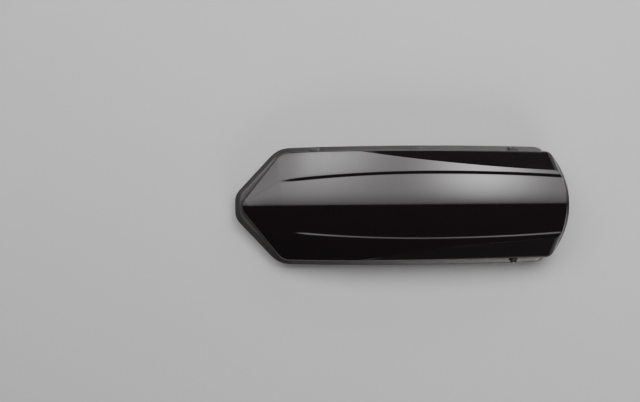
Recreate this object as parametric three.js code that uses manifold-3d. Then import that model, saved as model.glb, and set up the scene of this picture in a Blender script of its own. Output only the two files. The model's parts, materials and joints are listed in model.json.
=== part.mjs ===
// Hard-shell roof cargo box: a thermoformed tray with a wide rim, a ridged lid that opens on one long
// side, three hinges, two gas struts, a sliding-rod lock and four clamps for 80 mm wide crossbars.
// Millimetres. +X runs from the nose to the tail, +Y is the hinge side, +Z is up.
import * as THREE from "three";
import { mergeVertices } from "three/addons/utils/BufferGeometryUtils.js";
import Module from "manifold-3d";

const wasm = await Module();
wasm.setup();

// ---------- Driving dimensions ----------
const GAP = 0.3; // between pieces that touch
const SKIN = 3; // wall of the lid and of the tray
const DEG = Math.PI / 180;

const CROSSBAR_TOP = 50; // height of the crossbar's top face above the clamp jaws' lowest point
const CLAMP_X = [-411, 337];
const CLAMP_Y = 244;
const CLAMP_TRAVEL = 40; // each clamp slides this far forwards and backwards

const FLOOR_UNDERSIDE = 58;
const FLOOR_TOP = FLOOR_UNDERSIDE + SKIN;
const LAND_TOP = 146; // the raised ledge that carries the seal
const BAND_TOP = 130; // the flat inner part of the rim, under the lid's edge
const BAND_BROW = 113; // the rim slopes down from there to this outer edge
const BAND_BOTTOM = 84;

const LID_EDGE = 134; // lowest edge of the lid
const LID_NOSE_X = -1127;
const LID_TAIL_X = 1170;
const TAIL_RADIUS = 640; // the shallow arc across the tail
const RIDGE_HIGH = 392;
const RIDGE_HIGH_X = 500;
const WALL_FOOT = 14; // how far in from its edge the lid's wall is steep
const WALL_POWER = 2.4; // how quickly the steep wall rolls over into the flank above it
const FLANK_SLOPE = 0.84; // rise over run of that flank
const CREASE_WIDTH = 30;
const TRAY_INSET = 18; // the tray's ledge, wall and floor stand this far in from the lid's edge

const HINGE_Y = 403;
const HINGE_Z = 139;
const HINGE_X = [-600, 120, 800];

const LOCK_X = 790;
const LOCK_Z = 190;
const LOCK_CRANK = 14.14; // crank radius: a quarter turn moves the rod 20 mm
const ROD_Y = -306;
const HOOK_X = [-560, 60, 640];

// Each strut: its place along the box, its foot on the tray and its head on the lid, as [y, z].
const STRUTS = [
  { name: "front", x: -250, foot: [264, 90], head: [262, 282] },
  { name: "rear", x: 760, foot: [264, 90], head: [262, 300] },
];

// ---------- Solids from three.js geometry ----------
function toSolid(geometry) {
  const bare = geometry.clone();
  bare.deleteAttribute("normal");
  bare.deleteAttribute("uv");
  const merged = mergeVertices(bare, 1e-4);
  const mesh = new wasm.Mesh({
    numProp: 3,
    vertProperties: new Float32Array(merged.attributes.position.array),
    triVerts: new Uint32Array(merged.index.array),
  });
  return new wasm.Manifold(mesh);
}

function toGeometry(solid) {
  const mesh = solid.getMesh();
  const geometry = new THREE.BufferGeometry();
  geometry.setAttribute("position", new THREE.BufferAttribute(mesh.vertProperties, 3));
  geometry.setIndex(new THREE.BufferAttribute(mesh.triVerts, 1));
  geometry.computeVertexNormals();
  return geometry;
}

function join(first, ...others) {
  return others.reduce((sum, other) => sum.add(other), first);
}

function cut(first, ...others) {
  return others.reduce((rest, other) => rest.subtract(other), first);
}

function block([x0, x1], [y0, y1], [z0, z1]) {
  const geometry = new THREE.BoxGeometry(x1 - x0, y1 - y0, z1 - z0);
  geometry.translate((x0 + x1) / 2, (y0 + y1) / 2, (z0 + z1) / 2);
  return toSolid(geometry);
}

// A cylinder of the given radius from one point to another.
function rod(radius, from, to, sides = 20) {
  const start = new THREE.Vector3(...from);
  const along = new THREE.Vector3(...to).sub(start);
  const geometry = new THREE.CylinderGeometry(radius, radius, along.length(), sides);
  const turn = new THREE.Quaternion().setFromUnitVectors(
    new THREE.Vector3(0, 1, 0),
    along.clone().normalize(),
  );
  geometry.applyQuaternion(turn);
  geometry.translate(...start.addScaledVector(along, 0.5).toArray());
  return toSolid(geometry);
}

// A flat outline of [x, y] points extruded upwards from z0 to z1.
function plate(points, z0, z1) {
  const shape = new THREE.Shape(points.map(([x, y]) => new THREE.Vector2(x, y)));
  const geometry = new THREE.ExtrudeGeometry(shape, { depth: z1 - z0, bevelEnabled: false });
  geometry.translate(0, 0, z0);
  return toSolid(geometry);
}

// A side outline of [x, z] points extruded across the box from y0 to y1.
function sidePlate(points, y0, y1) {
  const shape = new THREE.Shape(points.map(([x, z]) => new THREE.Vector2(x, z)));
  const geometry = new THREE.ExtrudeGeometry(shape, { depth: y1 - y0, bevelEnabled: false });
  geometry.rotateX(Math.PI / 2);
  geometry.translate(0, y1, 0);
  return toSolid(geometry);
}

// An outline of [y, z] points extruded along the box from x0 to x1.
function endPlate(points, x0, x1) {
  const shape = new THREE.Shape(points.map(([y, z]) => new THREE.Vector2(y, z)));
  const geometry = new THREE.ExtrudeGeometry(shape, { depth: x1 - x0, bevelEnabled: false });
  geometry.rotateX(Math.PI / 2);
  geometry.rotateZ(Math.PI / 2);
  geometry.translate(x0, 0, 0);
  return toSolid(geometry);
}

// ---------- Plan outlines ----------
// Points of a quadratic curve that rounds a corner, starting and ending `reach` away from it.
function roundedCorner(before, corner, after, reach, steps) {
  const towards = (target) => {
    const length = Math.hypot(target[0] - corner[0], target[1] - corner[1]);
    return [0, 1].map((i) => corner[i] + ((target[i] - corner[i]) * reach) / length);
  };
  const start = towards(before);
  const end = towards(after);
  const points = [];
  for (let step = 0; step <= steps; step++) {
    const t = step / steps;
    const weights = [(1 - t) ** 2, 2 * t * (1 - t), t ** 2];
    points.push([0, 1].map((i) => weights[0] * start[i] + weights[1] * corner[i] + weights[2] * end[i]));
  }
  return points;
}

// The half outline with y >= 0, from the nose to the tail: a narrow round nose, a straight diagonal, a
// rounded shoulder, a gently bowed side, a rounded rear corner and a shallow arc across the tail.
function halfOutline(plan) {
  const { noseX, noseHalf, noseReach, shoulderX, side, shoulderReach, rearReach, tailX } = plan;
  const noseCorner = [noseX, noseHalf];
  const shoulder = [shoulderX, side(shoulderX)];
  const tailCentre = tailX - TAIL_RADIUS;
  const guess = tailCentre + Math.sqrt(TAIL_RADIUS ** 2 - side(tailX - 170) ** 2);
  const rearCorner = [guess, side(guess)];
  const sideEnd = rearCorner[0] - rearReach;
  const sideStart = shoulderX + shoulderReach;
  const arcPoint = (angle) => [
    tailCentre + TAIL_RADIUS * Math.cos(angle),
    TAIL_RADIUS * Math.sin(angle),
  ];
  const cornerAngle = Math.asin(rearCorner[1] / TAIL_RADIUS);
  const points = [[noseX, 0]];
  points.push(...roundedCorner([noseX, 0], noseCorner, shoulder, noseReach, 3));
  const ahead = [sideStart, side(sideStart)];
  points.push(...roundedCorner(noseCorner, shoulder, ahead, shoulderReach, 5));
  const sideSteps = 12;
  for (let step = 1; step < sideSteps; step++) {
    const x = sideStart + ((sideEnd - sideStart) * step) / sideSteps;
    points.push([x, side(x)]);
  }
  const behind = arcPoint(cornerAngle - 0.15);
  points.push(...roundedCorner([sideEnd, side(sideEnd)], rearCorner, behind, rearReach, 4));
  const arcStart = cornerAngle - (rearReach * 1.1) / TAIL_RADIUS;
  const arcSteps = 6;
  for (let step = 1; step < arcSteps; step++) {
    points.push(arcPoint(arcStart * (1 - step / arcSteps)));
  }
  points.push([tailX, 0]);
  return points;
}

function closedOutline(half) {
  const mirrored = half
    .slice(1, -1)
    .reverse()
    .map(([x, y]) => [x, -y]);
  return [...half, ...mirrored].reverse();
}

// Half width of the lid's edge, bowed a little along the side.
const lidSide = (x) => 394 - 11.3e-6 * (x + 100) ** 2;
const bandSide = (x) => 425 - 18e-6 * x ** 2;

// How far the lid's side wall leans inwards between its edge and the shoulder above it.
function wallLean(x) {
  const rearwards = THREE.MathUtils.clamp((x + 280) / 1200, 0, 1.2);
  return 14 + 125 * rearwards * (1.6 - 0.6 * rearwards);
}

function lidEdgePlan(inset) {
  return {
    noseX: LID_NOSE_X + inset * 1.2,
    noseHalf: 30 - inset * 0.6,
    noseReach: 28 - inset * 0.6,
    shoulderX: -838 + inset * 0.4,
    side: (x) => lidSide(x) - inset,
    shoulderReach: 50,
    rearReach: 34,
    tailX: LID_TAIL_X - inset,
  };
}

function lidShoulderPlan(inset) {
  return {
    noseX: LID_NOSE_X + 15 + inset * 1.2,
    noseHalf: 26 - inset * 0.6,
    noseReach: 24 - inset * 0.6,
    shoulderX: -834 + inset * 0.4,
    side: (x) => lidSide(x) - wallLean(x) - inset,
    shoulderReach: 55,
    rearReach: 38,
    tailX: LID_TAIL_X - 34 - inset,
  };
}

function bandPlan(inset) {
  return {
    noseX: -1170 + inset,
    noseHalf: 84 - inset * 0.4,
    noseReach: 46,
    shoulderX: -862 + inset * 0.4,
    side: (x) => bandSide(x) - inset,
    shoulderReach: 85,
    rearReach: 60,
    tailX: 1150 - inset,
  };
}

// The tray's ledge, its wall and its floor follow the lid's edge, further in at the tail.
function trayPlan(inset) {
  return {
    noseX: LID_NOSE_X + 6 + inset * 1.25,
    noseHalf: 30 - Math.min(inset, 40) * 0.3,
    noseReach: 17,
    shoulderX: -838 + inset * 0.4,
    side: (x) => lidSide(x) - TRAY_INSET - inset,
    shoulderReach: 60,
    rearReach: 60,
    tailX: LID_TAIL_X - 48 - inset,
  };
}

// ---------- Lid surface ----------
function ridgeHeight(x) {
  const ahead = 8.31e-5;
  const behind = 8.24e-5;
  return RIDGE_HIGH - (x < RIDGE_HIGH_X ? ahead : behind) * (x - RIDGE_HIGH_X) ** 2;
}

// The crease runs beside the ridge: its distance from the centreline, and the height of its step.
const creaseY = (x) => 208 - 59 * THREE.MathUtils.clamp((150 - x) / 1057, 0, 1.2) ** 2
  - 36e-6 * Math.max(x - 150, 0) ** 2;
const creaseStep = (x) => 6.5 * THREE.MathUtils.smoothstep(x, -950, -650);

function skinHeight(x, y) {
  const across = Math.abs(y);
  const step = THREE.MathUtils.clamp((across - creaseY(x)) / CREASE_WIDTH, 0, 1);
  return ridgeHeight(x) - 0.06 * across - 0.00035 * across ** 2 + creaseStep(x) * step;
}

// Share of the lid wall's width, in plan, that its steep foot takes up.
const wallFoot = (width) => Math.min(0.9, WALL_FOOT / width);

// Height of the lid's wall above its edge, at `part` of the way from the edge to the shoulder.
function wallRise(width, height, part) {
  const flank = Math.min(FLANK_SLOPE * width, 0.6 * height);
  const roll = 1 - (1 - Math.min(1, part / wallFoot(width))) ** WALL_POWER;
  return flank * part + (height - flank) * roll;
}

// Rows of points across half of the lid, from its edge up the wall and over to the ridge.
function lidRow(edge, shoulder, spineX, thickness) {
  const width = Math.hypot(edge[0] - shoulder[0], edge[1] - shoulder[1]);
  const foot = wallFoot(width);
  const parts = [0, foot * 0.1, foot * 0.32, foot * 0.62, foot, 1];
  const height = skinHeight(...shoulder) - LID_EDGE;
  const wall = parts.map((part) => {
    const x = THREE.MathUtils.lerp(edge[0], shoulder[0], part);
    const y = THREE.MathUtils.lerp(edge[1], shoulder[1], part);
    return [x, y, LID_EDGE + wallRise(width, height, part) - thickness * part];
  });
  const crease = creaseY(shoulder[0]);
  const inner = Math.min(crease, shoulder[1] * 0.76);
  const outer = Math.min(crease + CREASE_WIDTH, shoulder[1] * 0.9);
  const tops = [(outer + shoulder[1]) / 2, outer, inner, inner * 0.66, inner * 0.33, 0].map((y) => {
    const part = shoulder[1] > 0 ? 1 - y / shoulder[1] : 1;
    const x = THREE.MathUtils.lerp(shoulder[0], spineX, part);
    return [x, y, skinHeight(x, y) - thickness];
  });
  return [...wall, ...tops];
}

// Closed solid under the lid's surface, with a flat underside at `bottom`.
function lidSolid(inset, bottom) {
  const edge = halfOutline(lidEdgePlan(inset));
  const shoulder = halfOutline(lidShoulderPlan(inset));
  const first = edge[0][0];
  const length = edge[edge.length - 1][0] - first;
  const rows = edge.map((point, index) => {
    const spineX = first + 50 + ((point[0] - first) / length) * (length - 110);
    const tip = index === 0 || index === edge.length - 1;
    const row = lidRow(point, shoulder[index], spineX, inset);
    if (!tip) return row;
    return row.map(([x, , z], place) => {
      if (place < 6) return [x, 0, z];
      const along = THREE.MathUtils.lerp(shoulder[index][0], spineX, (place - 5) / (row.length - 6));
      return [along, 0, skinHeight(along, 0) - inset];
    });
  });
  const positions = [];
  const quad = (a, b, c, d) => positions.push(...a, ...b, ...c, ...a, ...c, ...d);
  const other = ([x, y, z]) => [x, -y, z];
  const under = ([x, y]) => [x, y, bottom];
  for (let index = 0; index + 1 < rows.length; index++) {
    const here = rows[index];
    const next = rows[index + 1];
    const footHere = under(here[0]);
    const footNext = under(next[0]);
    quad(footNext, footHere, here[0], next[0]);
    quad(other(next[0]), other(here[0]), other(footHere), other(footNext));
    for (let place = 0; place + 1 < here.length; place++) {
      quad(next[place], here[place], here[place + 1], next[place + 1]);
      quad(other(next[place + 1]), other(here[place + 1]), other(here[place]), other(next[place]));
    }
    quad(footHere, footNext, other(footNext), other(footHere));
  }
  return fromTriangles(positions);
}

function fromTriangles(positions) {
  const kept = [];
  for (let start = 0; start < positions.length; start += 9) {
    const [a, b, c] = [0, 3, 6].map((offset) =>
      new THREE.Vector3().fromArray(positions, start + offset),
    );
    const smallest = Math.min(a.distanceTo(b), b.distanceTo(c), c.distanceTo(a));
    if (smallest > 1e-3) kept.push(...positions.slice(start, start + 9));
  }
  const geometry = new THREE.BufferGeometry();
  geometry.setAttribute("position", new THREE.Float32BufferAttribute(kept, 3));
  return toSolid(geometry);
}

// Closed solid through a stack of level outlines, each { plan, z }, from the lowest to the highest.
function stack(levels) {
  const rings = levels.map(({ plan, z }) => closedOutline(halfOutline(plan)).map(([x, y]) => [x, y, z]));
  const count = rings[0].length;
  const positions = [];
  for (let level = 0; level + 1 < rings.length; level++) {
    for (let i = 0; i < count; i++) {
      const j = (i + 1) % count;
      const [a, b, c, d] = [rings[level][i], rings[level][j], rings[level + 1][j], rings[level + 1][i]];
      positions.push(...a, ...b, ...c, ...a, ...c, ...d);
    }
  }
  const capFaces = (ring) =>
    THREE.ShapeUtils.triangulateShape(
      ring.map(([x, y]) => new THREE.Vector2(x, y)),
      [],
    );
  for (const [a, b, c] of capFaces(rings[0])) {
    positions.push(...rings[0][c], ...rings[0][b], ...rings[0][a]);
  }
  const top = rings[rings.length - 1];
  for (const [a, b, c] of capFaces(top)) {
    positions.push(...top[a], ...top[b], ...top[c]);
  }
  return fromTriangles(positions);
}

// ---------- Materials ----------
function finish(color, roughness, metalness = 0) {
  return () => new THREE.MeshStandardMaterial({ color, roughness, metalness });
}
const glossBlack = finish("#0b0b0c", 0.12);
const texturedBlack = finish("#1d1c1b", 0.55);
const softBlack = finish("#151515", 0.8);
const darkPlastic = finish("#232325", 0.5);
const greyPlastic = finish("#55585c", 0.5);
const steel = finish("#a7aaad", 0.35, 0.9);
const aluminium = finish("#c3c6c8", 0.4, 0.9);
const castMetal = finish("#2c2d30", 0.35, 0.7);
const blackSteel = finish("#1a1a1c", 0.4, 0.6);
const chrome = finish("#d8dadc", 0.12, 1);
const webbing = finish("#3a3b3d", 0.9);
const mat = finish("#2b2c2e", 0.95);

const group = new THREE.Group();

function add(name, solid, material) {
  const mesh = new THREE.Mesh(toGeometry(solid), material());
  mesh.name = name;
  group.add(mesh);
}

// ---------- Tray, lid and the ring between them ----------
const lidOuter = lidSolid(0, LID_EDGE);
const lidInner = lidSolid(SKIN, LID_EDGE - 10);
const trayOuter = stack([
  { plan: trayPlan(88), z: FLOOR_UNDERSIDE },
  { plan: trayPlan(74), z: FLOOR_UNDERSIDE + 14 },
  { plan: trayPlan(40), z: BAND_TOP - 11 },
  { plan: trayPlan(11), z: BAND_TOP - 5 },
  { plan: trayPlan(10), z: LAND_TOP },
]);

// The room inside the tray, kept `gap` away from its floor and walls.
function trayRoom(gap) {
  return stack([
    { plan: trayPlan(94 + gap), z: FLOOR_TOP + gap },
    { plan: trayPlan(78 + gap), z: FLOOR_TOP + 12 + gap },
    { plan: trayPlan(44 + gap), z: BAND_TOP - 11 },
    { plan: trayPlan(43 + gap), z: LAND_TOP + 10 },
  ]);
}

// The rim's outer skin, kept `gap` away from the outside of the rim.
function rimSolid(gap) {
  return stack([
    { plan: bandPlan(2 - gap), z: BAND_BOTTOM - gap },
    { plan: bandPlan(-gap), z: BAND_BOTTOM + 20 },
    { plan: bandPlan(1 - gap), z: BAND_BROW - 3 + gap },
    { plan: bandPlan(5 - gap), z: BAND_BROW + gap },
    { plan: bandPlan(31 - gap), z: BAND_TOP - 2 + gap },
    { plan: bandPlan(38 - gap), z: BAND_TOP + gap },
  ]);
}
const rimInside = stack([
  { plan: bandPlan(6), z: BAND_BOTTOM - 10 },
  { plan: bandPlan(4), z: BAND_BOTTOM + 20 },
  { plan: bandPlan(4.5), z: BAND_BROW - 5 },
  { plan: bandPlan(7), z: BAND_BROW - 2.5 },
  { plan: bandPlan(32.5), z: BAND_TOP - 5 },
  { plan: bandPlan(39), z: BAND_TOP - 3.5 },
]);

function clampSlots() {
  return CLAMP_X.flatMap((x) =>
    [-CLAMP_Y, CLAMP_Y].map((y) => {
      const reach = 82 + CLAMP_TRAVEL;
      return block([x - reach, x + reach], [y - 18, y + 18], [FLOOR_UNDERSIDE - 5, FLOOR_TOP + 5]);
    }),
  );
}
function ring(outer, inner, z0, z1) {
  const outside = stack([
    { plan: outer, z: z0 },
    { plan: outer, z: z1 },
  ]);
  const inside = stack([
    { plan: inner, z: z0 - 1 },
    { plan: inner, z: z1 + 1 },
  ]);
  return cut(outside, inside);
}

// The ledge is hollow underneath, as a formed sheet is.
const ledgeHollow = ring(trayPlan(13.5), trayPlan(40), BAND_BOTTOM, LAND_TOP - SKIN);
const trayShell = cut(join(cut(rimSolid(0), rimInside), trayOuter), ledgeHollow, trayRoom(0));
add("base_tray", cut(trayShell, ...clampSlots()), texturedBlack);

const lockHole = rod(16, [LOCK_X, -420, LOCK_Z], [LOCK_X, -280, LOCK_Z]);
add("lid_shell", cut(lidOuter, lidInner, lockHole), glossBlack);

add("lid_seal", ring(trayPlan(18), trayPlan(31), LAND_TOP + GAP, LAND_TOP + 6), softBlack);

// The stiffening ring inside the lid, with lugs that guide the lock rod.
const FRAME_BOTTOM = LAND_TOP + 6 + GAP;
const FRAME_TOP = FRAME_BOTTOM + 5;
const rodGuides = [-300, 380].map((x) => {
  const lug = block([x - 4, x + 4], [-336, ROD_Y + 9], [FRAME_BOTTOM, 184]);
  return cut(lug, block([x - 5, x + 5], [ROD_Y - 3.5, ROD_Y + 3.5], [159.5, 176.5]));
});
const frameRing = ring(lidEdgePlan(2), trayPlan(46), FRAME_BOTTOM, FRAME_TOP);
const lidRoom = lidSolid(SKIN + GAP, LID_EDGE - 10);
add("lid_frame", join(frameRing.intersect(lidRoom), ...rodGuides), darkPlastic);

// ---------- Hinges ----------
function knuckle(x0, x1) {
  return rod(7, [x0, HINGE_Y, HINGE_Z], [x1, HINGE_Y, HINGE_Z], 16);
}
const pinHole = (x) => rod(2.8, [x - 40, HINGE_Y, HINGE_Z], [x + 40, HINGE_Y, HINGE_Z], 12);
const lidClearance = lidSolid(-GAP, LID_EDGE - 20);
const rimClearance = rimSolid(GAP);
HINGE_X.forEach((x, index) => {
  const number = index + 1;
  const footBottom = BAND_BROW;
  const foot = block([x - 30, x + 30], [HINGE_Y - 6, HINGE_Y + 9], [footBottom, HINGE_Z - 7.5]);
  const riser = block([x - 15, x + 15], [HINGE_Y - 6, HINGE_Y + 6], [footBottom, HINGE_Z]);
  const baseLeaf = join(cut(join(foot, riser), rimClearance), knuckle(x - 15, x + 15));
  add(`hinge_${number}_base_leaf`, cut(baseLeaf, pinHole(x), lidClearance), blackSteel);

  const strap = (x0, x1) => block([x0, x1], [lidSide(x) - 24, HINGE_Y], [HINGE_Z, HINGE_Z + 34]);
  const bridge = block([x - 32, x + 32], [lidSide(x) - 24, HINGE_Y - 3], [HINGE_Z + 10, HINGE_Z + 34]);
  const outboard = block([x - 60, x + 60], [HINGE_Y - 0.5, HINGE_Y + 30], [HINGE_Z + 2, HINGE_Z + 60]);
  const leaf = join(bridge, strap(x - 32, x - 15.6), strap(x + 15.6, x + 32));
  const trimmed = cut(leaf, lidClearance, outboard);
  const lidLeaf = join(trimmed, knuckle(x - 32, x - 15.6), knuckle(x + 15.6, x + 32));
  add(`hinge_${number}_lid_leaf`, cut(lidLeaf, pinHole(x), lidClearance), blackSteel);
  add(`hinge_${number}_pin`, rod(2.5, [x - 34, HINGE_Y, HINGE_Z], [x + 34, HINGE_Y, HINGE_Z], 12), steel);
});

// ---------- Gas struts ----------
const STRUT_PIN = 4;
STRUTS.forEach(({ name, x, foot, head }) => {
  const reach = Math.hypot(head[0] - foot[0], head[1] - foot[1]);
  const along = (distance) => [
    x,
    foot[0] + ((head[0] - foot[0]) * distance) / reach,
    foot[1] + ((head[1] - foot[1]) * distance) / reach,
  ];
  const tube = reach - 38;
  const eye = (radius, [, y, z]) => rod(radius, [x - 4, y, z], [x + 4, y, z], 20);
  const hole = (radius, [, y, z]) => rod(radius, [x - 6, y, z], [x + 6, y, z], 16);
  const cylinder = join(rod(9, along(14), along(tube)), rod(4, along(5), along(16)), eye(8, along(0)));
  const bore = rod(4 + GAP, along(28), along(tube + 5));
  add(`strut_${name}_cylinder`, cut(cylinder, hole(STRUT_PIN + GAP, along(0)), bore), blackSteel);
  const stem = join(rod(4, along(32), along(reach - 12)), eye(14, along(reach)));
  add(`strut_${name}_rod`, cut(stem, hole(STRUT_PIN + 5.5, along(reach))), steel);

  // Two ears and the pin between them, standing on the height `base`.
  const ears = ([, y, z], base) => {
    const low = Math.min(base, z - 9);
    const high = Math.max(base, z + 9);
    const outline = [
      [y - 9, low],
      [y + 9, low],
      [y + 9, high],
      [y - 9, high],
    ];
    const pin = rod(STRUT_PIN, [x - 10, y, z], [x + 10, y, z], 16);
    return join(endPlate(outline, x - 10, x - 6), endPlate(outline, x + 6, x + 10), pin);
  };
  const floorPlate = block([x - 26, x + 26], [foot[0] - 24, foot[0] + 9], [FLOOR_TOP, FLOOR_TOP + 4]);
  const base = join(floorPlate, ears(along(0), FLOOR_TOP));
  add(`strut_${name}_base_bracket`, base.intersect(trayRoom(GAP)), blackSteel);

  const roof = skinHeight(x, head[0]) - SKIN;
  const roofPlate = block([x - 26, x + 26], [head[0] - 24, head[0] + 24], [roof - 50, roof + 20]);
  const below = lidSolid(SKIN + 5, LID_EDGE - 20);
  const skinPart = cut(roofPlate, below).intersect(lidRoom);
  const hanger = ears(along(reach), roof + 10).intersect(lidRoom);
  add(`strut_${name}_lid_bracket`, join(skinPart, hanger), blackSteel);
});

// ---------- Lock ----------
// Where the lid's wall stands at the height of the lock.
const lidWallY = (() => {
  const lean = wallLean(LOCK_X);
  const height = skinHeight(LOCK_X, lidSide(LOCK_X) - lean) - LID_EDGE;
  let [outer, inner] = [0, 1];
  while (inner - outer > 1e-4) {
    const middle = (outer + inner) / 2;
    if (wallRise(lean, height, middle) < LOCK_Z - LID_EDGE) outer = middle;
    else inner = middle;
  }
  return lean * outer - lidSide(LOCK_X);
})();
const BEZEL_FACE = lidWallY - 12;
const HOUSING_INNER = ROD_Y - 5;

function lockHousing() {
  const bezel = rod(30, [LOCK_X, BEZEL_FACE, LOCK_Z], [LOCK_X, lidWallY + 14, LOCK_Z], 28);
  const tube = rod(15.5, [LOCK_X, BEZEL_FACE, LOCK_Z], [LOCK_X, HOUSING_INNER - 8, LOCK_Z], 24);
  const body = block([LOCK_X - 34, LOCK_X + 34], [lidWallY, HOUSING_INNER - 8], [FRAME_TOP + GAP, 224]);
  const bore = rod(6.3, [LOCK_X, -420, LOCK_Z], [LOCK_X, -280, LOCK_Z], 20);
  return cut(join(cut(bezel, lidClearance), tube, body.intersect(lidRoom)), bore);
}
add("lock_housing", lockHousing(), darkPlastic);

const KNOB_BACK = BEZEL_FACE - GAP;
const KNOB_FACE = KNOB_BACK - 13;
function lockKnob() {
  const dial = rod(22, [LOCK_X, KNOB_FACE, LOCK_Z], [LOCK_X, KNOB_BACK, LOCK_Z], 32);
  const spindle = rod(6, [LOCK_X, KNOB_BACK, LOCK_Z], [LOCK_X, HOUSING_INNER - 3, LOCK_Z], 20);
  const scallops = [0, 1, 2, 3, 4, 5].map((i) => {
    const angle = (i * 60 + 30) * DEG;
    const [x, z] = [LOCK_X + 29 * Math.cos(angle), LOCK_Z + 29 * Math.sin(angle)];
    return rod(10, [x, KNOB_FACE - 1, z], [x, KNOB_BACK - 4, z], 16);
  });
  const keyPocket = rod(8.3, [LOCK_X, KNOB_FACE - 1, LOCK_Z], [LOCK_X, KNOB_FACE + 10, LOCK_Z], 20);
  // The crank and its drive pin sit at 45 degrees before the rod's mid travel.
  const crankX = LOCK_X - LOCK_CRANK * Math.SQRT1_2;
  const crankZ = LOCK_Z - LOCK_CRANK * Math.SQRT1_2;
  const web = new THREE.BoxGeometry(LOCK_CRANK, 4, 10);
  web.rotateY(-Math.PI / 4);
  web.translate((LOCK_X + crankX) / 2, HOUSING_INNER - 5, (LOCK_Z + crankZ) / 2);
  const crank = join(
    rod(9, [LOCK_X, HOUSING_INNER - 7, LOCK_Z], [LOCK_X, HOUSING_INNER - 3, LOCK_Z], 20),
    rod(5, [crankX, HOUSING_INNER - 7, crankZ], [crankX, HOUSING_INNER - 3, crankZ], 16),
    toSolid(web),
    rod(3, [crankX, HOUSING_INNER - 4, crankZ], [crankX, ROD_Y + 5, crankZ], 12),
  );
  return join(cut(dial, keyPocket, ...scallops), spindle, crank);
}
add("lock_knob", lockKnob(), castMetal);

function keyBarrel() {
  const barrel = rod(8, [LOCK_X, KNOB_FACE - 1.5, LOCK_Z], [LOCK_X, KNOB_FACE + 9, LOCK_Z], 24);
  const slotDepth = [KNOB_FACE - 3, KNOB_FACE + 6];
  const slot = block([LOCK_X - 0.8, LOCK_X + 0.8], slotDepth, [LOCK_Z - 4.5, LOCK_Z + 4.5]);
  return cut(barrel, slot);
}
add("lock_key_barrel", keyBarrel(), chrome);

const ROD_BOTTOM = 160;
const ROD_TOP = 176;
function lockRod() {
  const restX = LOCK_X - LOCK_CRANK * Math.SQRT1_2;
  const bar = block([HOOK_X[0] - 30, restX + 14], [ROD_Y - 3, ROD_Y + 3], [ROD_BOTTOM, ROD_TOP]);
  const fork = block([restX - 14, restX + 14], [ROD_Y - 3, ROD_Y + 3], [ROD_TOP - 4, 196]);
  const slot = block([restX - 3.6, restX + 3.6], [ROD_Y - 4, ROD_Y + 4], [167, 200]);
  return cut(join(bar, fork), slot);
}
add("lock_rod", lockRod(), aluminium);

HOOK_X.forEach((x, index) => {
  const hookY = [ROD_Y + 3 + GAP, ROD_Y + 11];
  const outline = [
    [x - 22, 112],
    [x + 10, 112],
    [x + 10, 121],
    [x - 8, 123],
    [x - 8, ROD_TOP],
    [x - 22, ROD_TOP],
  ];
  add(`lock_hook_${index + 1}`, sidePlate(outline, ...hookY), steel);

  // The striker's tab stands out from the tray's wall, just ahead of the hook's toe.
  const wallY = TRAY_INSET + 44 - lidSide(x);
  const tab = block([x + 14, x + 44], [wallY - 12, ROD_Y + 13], [127, 133]);
  const backing = block([x + 10, x + 60], [wallY - 12, wallY + 6], [104, 141]);
  add(`lock_striker_${index + 1}`, join(tab, backing).intersect(trayRoom(GAP)), steel);
});

// ---------- Clamps ----------
const JAW_PIVOT_X = 45;
const JAW_PIVOT_Z = 76;

function clampHousing(x, y) {
  const shell = plate(
    [
      [x - 86, y - 24],
      [x - 78, y - 31],
      [x + 78, y - 31],
      [x + 86, y - 24],
      [x + 86, y + 24],
      [x + 78, y + 31],
      [x - 78, y + 31],
      [x - 86, y + 24],
    ],
    FLOOR_TOP + GAP,
    98,
  );
  const bay = (side) => {
    const ends = [x + side * 22, x + side * 80].sort((a, b) => a - b);
    return block(ends, [y - 15, y + 15], [FLOOR_TOP - 5, 92]);
  };
  const post = block([x - 20, x + 20], [y - 13, y + 13], [CROSSBAR_TOP + 6 + GAP, 80]);
  const spindleHole = rod(6.3, [x, y, 78], [x, y, 100], 16);
  const axle = (side) => {
    const px = x + side * JAW_PIVOT_X;
    return rod(4, [px, y - 20, JAW_PIVOT_Z], [px, y + 20, JAW_PIVOT_Z], 12);
  };
  return join(cut(join(shell, post), bay(-1), bay(1), spindleHole), axle(-1), axle(1));
}

function clampJaw(x, y, side) {
  const at = (dx, z) => [x + side * dx, z];
  const outline = [
    at(35, 70),
    at(35, 82),
    at(39, 86),
    at(51, 86),
    at(55, 82),
    at(56, 66),
    at(60, 52),
    at(60, 12),
    at(52, 2),
    at(42, 0),
    at(28, 0),
    at(22, 4),
    at(22, 12),
    at(28, 17),
    at(38, 19),
    at(44, 26),
    at(44, 50),
    at(40, 60),
  ];
  if (side < 0) outline.reverse();
  const pivotX = x + side * JAW_PIVOT_X;
  const pivot = rod(4 + GAP, [pivotX, y - 20, JAW_PIVOT_Z], [pivotX, y + 20, JAW_PIVOT_Z], 12);
  return cut(sidePlate(outline, y - 12, y + 12), pivot);
}

function clampKnob(x, y) {
  const lobes = [0, 1, 2].map((i) => {
    const angle = (i * 120 + 90) * DEG;
    const [cx, cy] = [x + 19 * Math.cos(angle), y + 19 * Math.sin(angle)];
    return rod(11, [cx, cy, 101], [cx, cy, 117], 20);
  });
  const hub = rod(20, [x, y, 98 + GAP], [x, y, 121], 28);
  return join(hub, ...lobes, rod(6, [x, y, 80.5], [x, y, 100], 16));
}

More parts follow.
